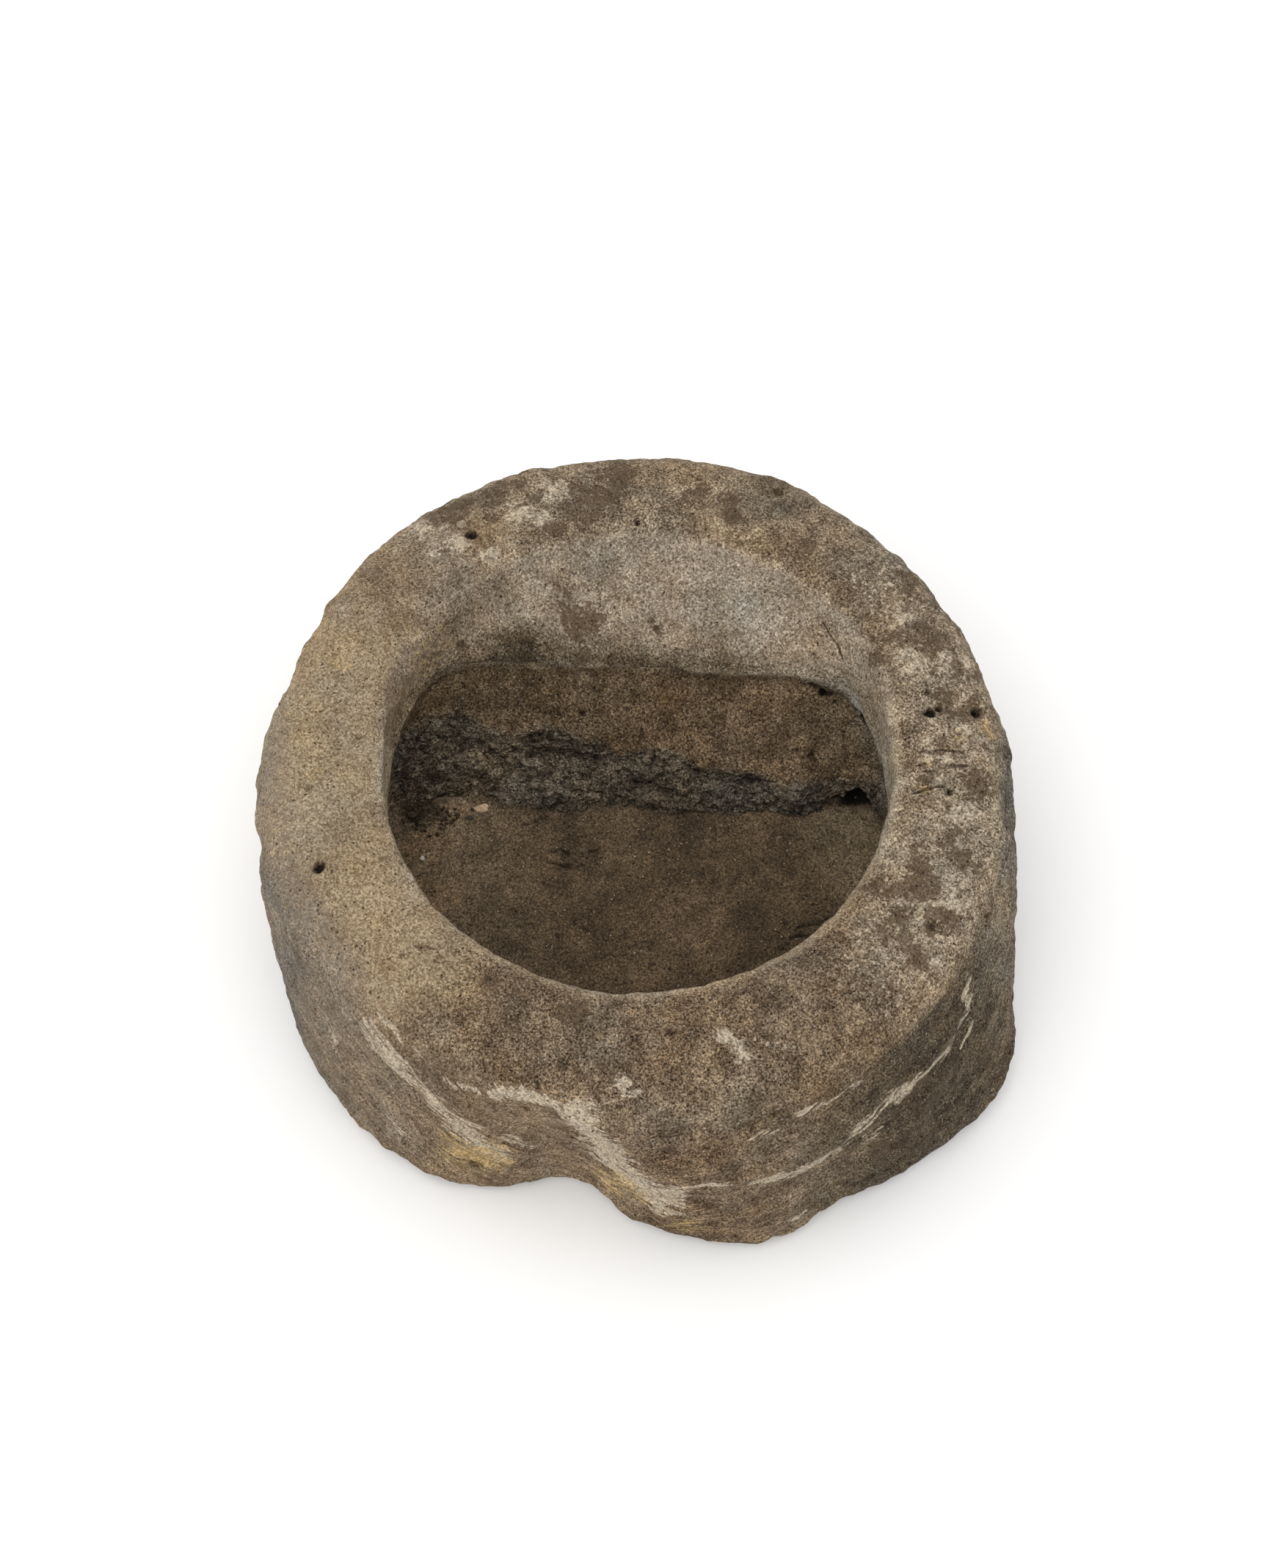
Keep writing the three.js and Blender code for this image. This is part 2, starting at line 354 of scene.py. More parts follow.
LEDGE_Z = 116  # the groove under the ledge of the back wall, in mm
ARCH_X = 147  # the middle of the arched hole at the foot of the back wall, in mm

# Deep crevices of the rough foot: the ends of each line, its half width and depth, in mm.
CREVICES = [
    (
        [(-146, 62, 74), (-114, 69, 73), (-80, 66, 74), (-52, 63, 72), (-26, 56, 67), (-2, 48, 63)],
        2.3,
        5.2,
    ),
    ([(-2, 48, 63), (24, 43, 58), (48, 38, 56), (80, 37, 57), (118, 38, 58)], 2.3, 4.5),
    ([(-162, 50, 66), (-150, 50, 63), (-120, 46, 61), (-89, 40, 57)], 2.1, 4.5),
    ([(-100, 76, 82), (-84, 74, 80), (-66, 74, 81)], 2.2, 4),
    ([(10, 58, 71), (30, 54, 68), (58, 50, 67), (84, 48, 65)], 2.2, 4.5),
    ([(-30, 68, 78), (-8, 64, 75), (8, 62, 74)], 2.0, 3.5),
]


def back_wall(place):
    """How far each point belongs to the back wall, and to its rough-picked foot."""
    back = place.hollow * ramp(place.y, 28, 40)
    uneven = 9 * layered(place.points, 0.035, 40, 3)
    rough_top = np.interp(place.x, (-143, -52, 10, 60, 122, 160), (90, 83, 76, 71, 68, 72)) + uneven
    return back, back * ramp(place.z, rough_top + 3, rough_top - 4)


def rough_relief(place):
    """The rough-picked foot of the back wall: lumps, split by sharp crevices, in mm."""
    flat_lumps = place.points * (0.6, 1, 1.5)
    broken = layered(flat_lumps, 0.022, 6, 4, 0.6)
    split = np.exp(-((broken / 0.05) ** 2))
    fine_split = np.exp(-((layered(flat_lumps, 0.009, 7, 3, 0.6) / 0.09) ** 2))
    lumps = layered(flat_lumps, 0.03, 10, 5, 0.6)
    relief = 2.4 + 6.5 * lumps - 4.2 * split - 2.2 * fine_split
    for ends, width, depth in CREVICES:
        relief -= depth * place.line(ends, width, 0.7, wander=2.5)
    return relief


def surface_relief(place, rough):
    """Height of the weathered surface over the CAD shape, in mm, without the single marks."""
    points = place.points
    back, _ = back_wall(place)
    relief = 2.0 * layered(points, 0.09, 1, 3) + 1.3 * layered(points, 0.022, 2, 3)
    relief += 0.6 * layered(points, 0.008, 3, 2)
    bedded = np.stack([points[:, 0], points[:, 1], place.bed * 4.5 * MM], 1)
    beds = layered(bedded, 0.07, 4, 3, 0.6)
    lumps = layered(points, 0.045, 5, 4, 0.55)
    relief += place.outside * (2.8 * beds + 3.8 * lumps)
    foot = rough > 0
    relief[foot] += rough[foot] * rough_relief(Place(points[foot]))
    talus = ramp(place.x, -115, -60) * ramp(place.x, 150, 100) * ramp(place.z, 78, 54)
    relief += back * talus * (7 + 6 * layered(points, 0.04, 13, 3))
    lower = back * (1 - rough) * ramp(place.z, 125, 112)
    relief += lower * 1.6 * layered(points, 0.012, 11, 3)
    return relief


def ledge_relief(place):
    """The overhanging edge between the two stages of the back wall."""
    back, _ = back_wall(place)
    ragged = 4.5 * layered(place.points, 0.04, 8, 4, 0.6)
    height = place.z - LEDGE_Z + 0.035 * place.x - ragged
    groove = np.exp(-((height / 2.2) ** 2))
    nose = np.exp(-(((height - 7) / 4.5) ** 2))
    strength = 0.75 + 0.9 * layered(place.points * (1, 1, 0), 0.03, 12, 2)
    return back * (1.8 * nose - 3.4 * groove * np.clip(strength, 0.15, 1.3))


def rim_groove(place):
    """The shallow broken groove across the right of the rim, between the two big holes."""
    across = [(180, 44, 170), (197, 46, 170), (212, 41, 168), (228, 36, 160)]
    return 2.4 * place.line(across, 6, 0.8, wander=2)


def gas_holes(place, size, chance, depth, seed):
    """Scattered small holes, in mm below the surface."""
    distance, number = cells(place.points, size, seed)
    radius = 0.08 + 0.12 * (number - 1 + chance) / chance
    return np.where(number > 1 - chance, depth * ramp(distance, radius, radius * 0.3), 0)


def pit_depth(place):
    """The single holes and knocks, in mm below the surface."""
    return place.spots(PITS, 1.25, 0.35, 1 + 0.6 * noise(place.points, 0.005, 9))


def crack_depth(place):
    """1 mm along the cracks and tool marks, and 0 beyond them."""
    lines = [place.line(ends, width * 1.4, wander=0.6) for ends, width in CRACKS]
    return np.max(lines, axis=0)


def under_roof(place, middle, top, fall, half_width):
    """1 under a rounded roof with its top at x = middle, and 0 above and beside it."""
    roof = top - fall * (place.x - middle) ** 2
    beside = ramp(np.abs(place.x - middle), half_width, half_width - 3)
    return ramp(place.z, roof + 1, roof - 1) * beside


def foot_cavity(place):
    """Depth of the arched hole at the foot of the back wall, and of the slot at its left."""
    wall = place.hollow * ramp(place.y, 30, 34) * ramp(place.y, 62, 52)
    arch = under_roof(place, ARCH_X, 63.5, 0.07, 13)
    slot = under_roof(place, ARCH_X - 16, 59, 0.05, 9)
    return wall * np.maximum(26 * arch, 10 * slot)


def refine_details(mesh):
    """More points on the rough foot, and still more along the thin cracks and tool marks."""
    _, rough = back_wall(Place(points_of(mesh)))
    refine_where(mesh, rough > 0.05)
    for _ in range(2):
        place = Place(points_of(mesh))
        near = [place.line(ends, 2.5) > 0 for ends, _ in CRACKS]
        refine_where(mesh, np.any(near, axis=0))


def carve_stone(mesh):
    """Moves the fine mesh to the weathered surface and keeps masks for the material, painted shade
    among them.
    """
    refine_details(mesh)
    place = Place(points_of(mesh))
    off_ground = ramp(place.z, GROUND_Z / MM + 0.5, GROUND_Z / MM + 14)
    _, rough = back_wall(place)
    surface = surface_relief(place, rough)
    holes = gas_holes(place, 0.016, 0.3, 1.5, 50) + gas_holes(place, 0.035, 0.35, 3.0, 51)
    holes = holes * (1 - rough)
    pits = pit_depth(place)
    cracks = crack_depth(place)
    cavity = foot_cavity(place)
    relief = surface + ledge_relief(place) - (rim_groove(place) + cracks)
    relief = (relief - holes - pits) * (1 - ramp(cavity, 2, 8)) * off_ground
    moved = place.points + points_of(mesh, "normal") * (relief * MM)[:, None]
    moved[:, 1] += cavity * MM
    moved[:, 2] = np.maximum(moved[:, 2], GROUND_Z)
    set_points(mesh, moved)
    # Painted shade: the shade mask darkens the gas holes, the pits, the arched hole and the sunken
    # parts of the rough foot.
    rough_hollow_shade = 0.5 * (ramp(-surface, 0.5, 4) * rough)
    shades = [0.8 * ramp(holes, 0.2, 1.2), ramp(pits, 0.5, 2.5), ramp(cavity, 1, 6), rough_hollow_shade]
    # Painted shade: this deep shade mask turns pits, the arched hole, cracks and tool marks nearly
    # black.
    deep_shades = [0.85 * ramp(pits, 2, 4.5), ramp(cavity, 5, 13), (0.8 - 0.2 * place.rim) * cracks]
    set_masks(mesh, shade=np.max(shades, axis=0), crack=np.max(deep_shades, axis=0), rough=rough)
    return place


# ---- painting the boulder

TAN = (0.37, 0.272, 0.167)
GREY_TAN = (0.262, 0.195, 0.127)
BACK_RIM = (0.24, 0.176, 0.11)
BROWN_RIM = (0.21, 0.15, 0.092)
MOTTLED_RIM = (0.24, 0.18, 0.118)
FRONT_RIM = (0.187, 0.13, 0.078)
COOL_SIDE = (0.188, 0.148, 0.11)
LEFT_SIDE = (0.225, 0.158, 0.096)
FRONT_SIDE = (0.177, 0.116, 0.065)
RIGHT_SIDE = (0.088, 0.062, 0.037)
RIGHT_EDGE = (0.15, 0.124, 0.093)
BAND = (0.32, 0.252, 0.178)
COOL_BAND = (0.368, 0.29, 0.207)
SHADED_BAND_FOOT = (0.1, 0.07, 0.041)
LEFT_WING = (0.27, 0.195, 0.122)
PANEL = (0.139, 0.092, 0.051)
ROUGH_FOOT = (0.11, 0.085, 0.059)
WALL = (0.4, 0.305, 0.2)
COOL_WALL = (0.38, 0.315, 0.233)
OCHRE = (0.62, 0.4, 0.165)

# From bearing to bearing, anticlockwise: colour, dark mottling, and how strongly it is speckled.
RIM_SECTORS = [
    (118, 150, GREY_TAN, 0.2, 0.6),
    (72, 118, BACK_RIM, 0.3, 1.0),
    (20, 72, BROWN_RIM, 0.25, 0.9),
    (333, 20, MOTTLED_RIM, 0.38, 1.0),
    (317, 333, MOTTLED_RIM, 0.36, 1.0),
    (234, 317, FRONT_RIM, 0.22, 1.0),
]
SIDE_SECTORS = [
    (195, 222, COOL_SIDE, 0.15, 0.8),
    (222, 262, LEFT_SIDE, 0.15, 0.6),
    (262, 292, FRONT_SIDE, 0.3, 1.0),
    (292, 336, RIGHT_SIDE, 0.35, 1.0),
    (336, 14, RIGHT_EDGE, 0.3, 1.0),
    (14, 150, BROWN_RIM, 0.3, 0.9),
]

# Dark patches of old lichen and dirt: x, y, z and size, in mm.
DARK_PATCHES = [
    (-135, 196, 166, 18), (-118, 206, 167, 16), (-98, 212, 167, 18), (-82, 221, 167, 14),
    (-72, 208, 169, 12), (-98, 190, 170, 9), (-40, 199, 170, 17), (-26, 205, 169, 12),
    (-13, 224, 168, 15), (26, 200, 170, 12), (60, 190, 170, 10), (112, 168, 170, 10),
    (176, 138, 166, 9), (183, 106, 169, 16), (190, 92, 169, 20), (170, 98, 170, 10),
    (206, 72, 167, 13), (196, 52, 169, 12), (207, 38, 168, 13), (180, -10, 170, 5),
    (196, -47, 170, 8), (205, -8, 168, 8), (194, -66, 170, 13), (173, -84, 170, 12),
    (159, -106, 170, 14), (180, -112, 169, 14), (150, -90, 170, 10), (166, -128, 168, 12),
    (-32, 129, 140, 16), (10, 124, 134, 12), (-133, -126, 170, 6), (-40, -170, 170, 14),
    (-26, -203, 168, 8), (-92, -150, 170, 10), (-236, -60, 40, 24), (-215, -112, 20, 18),
    (-205, 120, 90, 26), (-120, 215, 60, 30), (20, 240, 110, 24), (140, 200, 60, 28),
    (236, 60, 70, 26), (150, -190, 60, 18),
]

# Pale patches of lime and lichen, in the same form.
PALE_PATCHES = [
    (-80, 195, 170, 11), (-66, 190, 170, 8), (-60, 214, 168, 11), (-122, 170, 170, 9),
    (-136, 164, 169, 6), (-100, 162, 169, 7), (-146, 186, 165, 9), (212, 82, 166, 10),
    (182, 74, 170, 13), (198, 82, 169, 9), (172, 112, 169, 8), (182, 15, 170, 6),
    (181, 5, 170, 5), (192, 5, 170, 5), (186, -9, 170, 6), (200, 18, 169, 7), (204, 26, 168, 7),
    (200, -36, 169, 9), (175, -100, 170, 13), (190, -96, 169, 9), (160, -122, 169, 10),
    (178, -134, 167, 8), (60, -196, 168, 6),
]

# Small solid blobs of lime, in the same form.
LIME_BLOBS = [
    (-11, -214, 167, 4.5), (-3, -219, 166, 2.5), (50, -185, 170, 4.5), (56, -189, 170, 2.6),
    (67, -187, 170, 1.3), (71, -188, 170, 1.4), (75, -189, 169, 1.3), (80, -190, 169, 1.6),
    (85, -191, 169, 1.8), (90, -191, 168, 1.2), (-79, 196, 170, 4), (121, 132, 167, 1.6),
]

# Pale beds that show on the outside: the ends of each line, its half width and strength.
PALE_BEDS = [
    ([(-158, -165, 159), (-146, -179, 155), (-136, -190, 150)], 3, 0.75),
    ([(-161, -168, 146), (-152, -184, 136), (-133, -201, 124), (-112, -213, 98)], 7, 0.95),
    ([(-112, -213, 98), (-100, -217, 76), (-90, -220, 56)], 9, 1.15),
    ([(-118, -203, 145), (-99, -211, 147)], 2.4, 0.85),
    ([(-122, -206, 128), (-105, -214, 121)], 2.6, 0.8),
    ([(-83, -216, 85), (-68, -215, 69)], 3, 0.85),
    ([(-161, -193, 61), (-151, -202, 48)], 3, 0.8),
    ([(-88, -213, 152), (-72, -216, 155), (-58, -221, 153), (-33, -233, 145)], 5, 1.15),
    ([(-38, -228, 148), (-28, -233, 136), (-20, -236, 112)], 10, 1.3),
    ([(-20, -234, 100), (-11, -239, 81), (8, -250, 72)], 17, 1.3),
    ([(11, -250, 84), (24, -253, 96), (49, -252, 102), (68, -250, 99)], 3, 0.6),
    ([(68, -250, 99), (89, -245, 90), (101, -238, 96), (119, -227, 97)], 5, 1.0),
    ([(124, -223, 102), (130, -217, 108), (146, -205, 111)], 4, 0.8),
    ([(150, -202, 112), (167, -189, 112), (190, -167, 108)], 4.5, 1.0),
    ([(190, -167, 108), (200, -150, 124), (205, -134, 140)], 4, 0.8),
    ([(95, -223, 144), (110, -217, 141), (129, -204, 146)], 2.2, 0.75),
    ([(65, -236, 137), (78, -233, 136)], 2.0, 0.7),
    ([(86, -254, 36), (105, -244, 23)], 2.6, 0.75),
    ([(-15, -210, 167), (-9, -219, 165)], 2.0, 0.7),
    ([(209, -148, 104), (203, -162, 92)], 1.6, 0.8),
    ([(-209, -140, 120), (-188, -162, 96)], 4, 0.4),
    ([(60, -244, 60), (110, -236, 72), (150, -212, 88)], 3, 0.45),
    ([(206, -150, 70), (226, -110, 84), (238, -60, 90)], 4, 0.45),
    ([(150, 196, 96), (90, 228, 104), (20, 240, 98)], 4, 0.55),
    ([(-60, 236, 76), (-140, 206, 92), (-190, 150, 84)], 5, 0.5),
]

# Ochre stains: x, y, z and size, in mm, and strength.
OCHRE_STAINS = [
    (-103, -219, 58, 20, 0.85), (-116, -213, 76, 9, 0.5), (-12, -240, 62, 16, 0.6),
    (-20, -232, 44, 12, 0.6), (30, -250, 40, 16, 0.35), (224, 32, 161, 7, 0.7),
    (178, -17, 170, 3, 0.5), (182, 2, 170, 3, 0.4), (202, 22, 168, 5, 0.4),
    (-208, -5, 170, 6, 0.3), (-194, 76, 170, 8, 0.3), (-208, 43, 169, 5, 0.3),
    (-140, 95, 150, 20, 0.25),
]


def paint(look, target, mask):
    """The look of each point, turned towards the target where the mask is above 0."""
    return look + (np.array(target) - look) * mask[:, None]


def rim_and_side_look(place):
    """Colour, mottling and speckle of each point, by the sectors of the rim and the outside.

    The sectors meet along wandering lines.
    """
    look = np.tile((*TAN, 0.12, 0.35), (len(place.points), 1))
    wander = 9 * layered(place.points, 0.06, 20, 3)
    for zone, sectors, soft in ((place.rim, RIM_SECTORS, 7), (place.outside, SIDE_SECTORS, 16)):
        for start, end, colour, mottle, speckle in sectors:
            here = zone * place.sector(start, end, soft, wander)
            look = paint(look, (*colour, mottle, speckle), here)
    return look[:, :3], look[:, 3], look[:, 4]


def paint_hollow(place, colours, mottle, speckle):
    """Paints the hollow: its round wall, and the slope, panel and rough foot of the back wall, with
    painted shade over the ledge and at the foot of the right wall, and painted light on the left of
    the rough foot.
    """
    back, rough = back_wall(place)
    wander = 10 * layered(place.points, 0.03, 21, 3)
    slope = back * ramp(place.z, LEDGE_Z + 2, LEDGE_Z + 10)
    cool_slope = slope * ramp(place.x + wander, 0, 30) * ramp(place.z + wander, 132, 144)
    foot_of_slope = slope * ramp(place.z + 0.06 * place.x + wander * 0.4, 138, 124)
    cool_right = place.sector(-25, 45, 12) * place.hollow
    panel = back * ramp(place.z, LEDGE_Z + 5, LEDGE_Z - 3)
    coats = [
        (WALL, place.hollow),
        (COOL_WALL, cool_right),
        # painted shade: the cool right wall darkens towards its foot
        (ROUGH_FOOT, 0.85 * cool_right * ramp(place.z + wander * 0.5, 112, 84)),
        (BAND, slope),
        (COOL_BAND, cool_slope),
        # painted shade: the foot of the slope, over the ledge, is darkened
        (SHADED_BAND_FOOT, foot_of_slope * ramp(place.x, 130, 80)),
        (LEFT_WING, 0.8 * slope * ramp(place.x, -85, -120)),
        (PANEL, panel * ramp(place.x, 175, 140)),
        (ROUGH_FOOT, rough),
    ]
    for colour, mask in coats:
        colours = paint(colours, colour, mask)
    # Painted light: the rough foot is lightened towards the left, where it lies in shade.
    colours = colours * (1 + 0.45 * rough * ramp(place.x, -40, -90))[:, None]
    mottle = mottle * (1 - place.hollow) + 0.15 * place.hollow + 0.2 * foot_of_slope
    speckle = speckle * (1 - place.hollow) + 0.6 * place.hollow + 0.4 * (panel + foot_of_slope)
    return colours, mottle, speckle


def patches(place, spots, seed, ragged):
    """1 in the middle of each ragged patch, falling to 0 at its edge."""
    wobble = np.clip(1 + ragged * layered(place.points, 0.022, seed, 4, 0.6), 0.3, 2)
    return place.spots(spots, 1.7, 0.2, wobble)


def paint_stone(mesh, place):
    """Gives the fine mesh its colour by region, and masks for patches, beds and stains."""
    points = place.points
    colours, mottle, speckle = paint_hollow(place, *rim_and_side_look(place))
    lightness = 1 + 0.3 * layered(points, 0.055, 22, 4, 0.6) * (0.35 + 0.65 * speckle)
    lightness += 0.18 * layered(points, 0.014, 23, 3) * speckle
    warmth = 0.085 * layered(points, 0.045, 24, 4, 0.6)
    tint = np.stack([lightness * (1 + warmth), lightness, lightness * (1 - 1.4 * warmth)], 1)
    dark = patches(place, DARK_PATCHES, 25, 1.5)
    crust = place.rim * place.sector(308, 46, 10) * ramp(place.radius, 178, 192)
    pales = [strength * place.line(ends, width, 0.9, 1.5) for ends, width, strength in PALE_BEDS]
    pales.append(0.85 * patches(place, PALE_PATCHES, 26, 0.7))
    pales.append(1.3 * patches(place, LIME_BLOBS, 27, 0.5))
    pales.append(0.3 * crust)
    cool_edge = place.sector(172, 226, 10) * ramp(place.radius, 212, 232)
    set_tone(mesh, np.clip(colours * tint, 0, 1))
    set_masks(
        mesh,
        mottle=np.maximum(mottle, 0.74 * dark),
        pale=np.max(pales, axis=0),
        speckle=speckle,
        stain=place.spots(OCHRE_STAINS, 1.7, 0.3),
        cool=0.68 * cool_edge,
        side=place.outside,
        bed=0.5 + place.bed * MM,
    )


# ---- node materials


class Shader:
    """One node material, built step by step. Every texture is in object metres.

    The grain is turned out of the object's axes, so that it never lines up with a flat side.
    """

    def __init__(self, name):
        self.material = bpy.data.materials.new(name)
        self.material.use_nodes = True
        self.tree = self.material.node_tree
        self.surface = self.tree.nodes["Principled BSDF"]
        self.where = self.tree.nodes.new("ShaderNodeTexCoord").outputs["Object"]
        turn = {"Vector": self.where, "Rotation": (0.6, 0.45, 0.8)}
        turned = self.node("VectorRotate", turn, rotation_type="EULER_XYZ")
        self.turned = turned.outputs[0]

    def node(self, kind, inputs, **settings):
        """A new node; kind is its type without the word ShaderNode before it."""
        node = self.tree.nodes.new("ShaderNode" + kind)
        for name, value in settings.items():
            setattr(node, name, value)
        for key, value in inputs.items():
            if isinstance(value, bpy.types.NodeSocket):
                self.tree.links.new(value, node.inputs[key])
            else:
                node.inputs[key].default_value = value
        return node

    def attribute(self, name, output="Fac"):
        return self.node("Attribute", {}, attribute_name=name).outputs[output]

    def noise(self, scale, detail=4, roughness=0.5, where=None):
        inputs = {"Scale": scale, "Detail": detail, "Roughness": roughness}
        inputs["Vector"] = where or self.turned
        return self.node("TexNoise", inputs).outputs["Fac"]

    def cells(self, scale):
        """Distance to the middle of each uneven cell, and a number of the cell's own."""
        drift = self.node("TexNoise", {"Vector": self.turned, "Scale": scale * 0.9})
        inputs = {0: drift.outputs["Color"], 1: (0.9 / scale,) * 3, 2: self.turned}
        uneven = self.vector_math("MULTIPLY_ADD", inputs)
        node = self.node("TexVoronoi", {"Vector": uneven, "Scale": scale})
        parts = self.node("SeparateColor", {0: node.outputs["Color"]})
        return node.outputs["Distance"], parts.outputs[0]

    def specks(self, scale, edge, chosen):
        """1 in the middle of some cells; edge and chosen are ramps of distance and of number."""
        distance, number = self.cells(scale)
        return self.product(self.ramp(distance, *edge), self.ramp(number, *chosen))

    def splits(self, scale):
        """1 on thin, ragged, mostly level splits, and 0 between them."""
        level = self.vector_math("MULTIPLY", {0: self.where, 1: (0.55, 0.8, 1.6)})
        field = self.noise(scale, 6, 0.65, level)
        away = self.math("ABSOLUTE", self.math("SUBTRACT", field, 0.5), 0.0)
        return self.ramp(away, 0.022, 0.006)

    def math(self, operation, first, second):
        return self.node("Math", {0: first, 1: second}, operation=operation).outputs[0]

    def vector_math(self, operation, inputs):
        return self.node("VectorMath", inputs, operation=operation).outputs[0]

    def ramp(self, value, low, high, to_low=0.0, to_high=1.0):
        """to_low at or below low and to_high at or above high, smooth between."""
        inputs = {"Value": value, 1: low, 2: high, 3: to_low, 4: to_high}
        return self.node("MapRange", inputs, interpolation_type="SMOOTHSTEP").outputs[0]

    def product(self, *values):
        result = values[0]
        for value in values[1:]:
            result = self.math("MULTIPLY", result, value)
        return result

    def total(self, *parts):
        """The sum of pairs of a value and its weight."""
        result = self.product(*parts[0])
        for part in parts[1:]:
            result = self.math("ADD", result, self.product(*part))
        return result

    def near_one(self, change, strength):
        """1 plus the change times its strength."""
        return self.math("ADD", self.product(change, strength), 1.0)

    def mix(self, amount, first, second):
        inputs = {"Factor": amount, 6: first, 7: second}
        return self.node("Mix", inputs, data_type="RGBA").outputs[2]

    def warm_and_cool(self, colour, tone):
        """Grains darker than the tone round them turn warmer, and lighter ones cooler."""
        light, usual = (self.node("RGBToBW", {0: each}).outputs[0] for each in (colour, tone))
        share = self.ramp(self.math("DIVIDE", light, usual), 0.35, 1.5)
        tint = self.mix(share, WARM_SHADE, COOL_LIGHT)
        return self.vector_math("MULTIPLY", {0: colour, 1: tint})

    def shaded(self, colour, factor):
        """The colour times a number."""
        return self.vector_math("SCALE", {0: colour, 3: factor})

    def darkened(self, colour, mask, share, start=1.0):
        """The colour times start where the mask is 0, down to the given share where it is 1."""
        return self.shaded(colour, self.ramp(mask, 0, 1, start, share))

    def finish(self, colour, roughness, height, depth):
        """Joins colour, roughness and a bump height of the given depth to the surface."""
        bump = self.node("Bump", {"Height": height, "Distance": depth, "Strength": 1.0})
        joined = {"Base Color": colour, "Roughness": roughness, "Normal": bump.outputs["Normal"]}
        for name, value in joined.items():
            self.tree.links.new(value, self.surface.inputs[name])
        self.surface.inputs["Specular IOR Level"].default_value = 0.2
        return self.material


DARK_LICHEN = (0.098, 0.07, 0.044, 1)
PALE_LIME = (0.62, 0.485, 0.335, 1)
COOL_DUST = (0.22, 0.196, 0.166, 1)
GRIT_LIGHT = (0.55, 0.5, 0.4, 1)
WARM_SHADE = (1.07, 1.0, 0.92, 1)
COOL_LIGHT = (0.93, 1.0, 1.07, 1)
STONE_BRIGHTNESS = 0.98
BED_SQUEEZE = 9.0  # the beds are this many times thinner than they are wide


def ragged_mask(shader, name, ragged, edge):
    """A painted mask with a ragged edge, which stays inside what was painted."""
    painted = shader.attribute(name)
    mask = shader.ramp(shader.math("ADD", painted, ragged), *edge)
    return shader.product(mask, shader.ramp(painted, 0.02, 0.2))


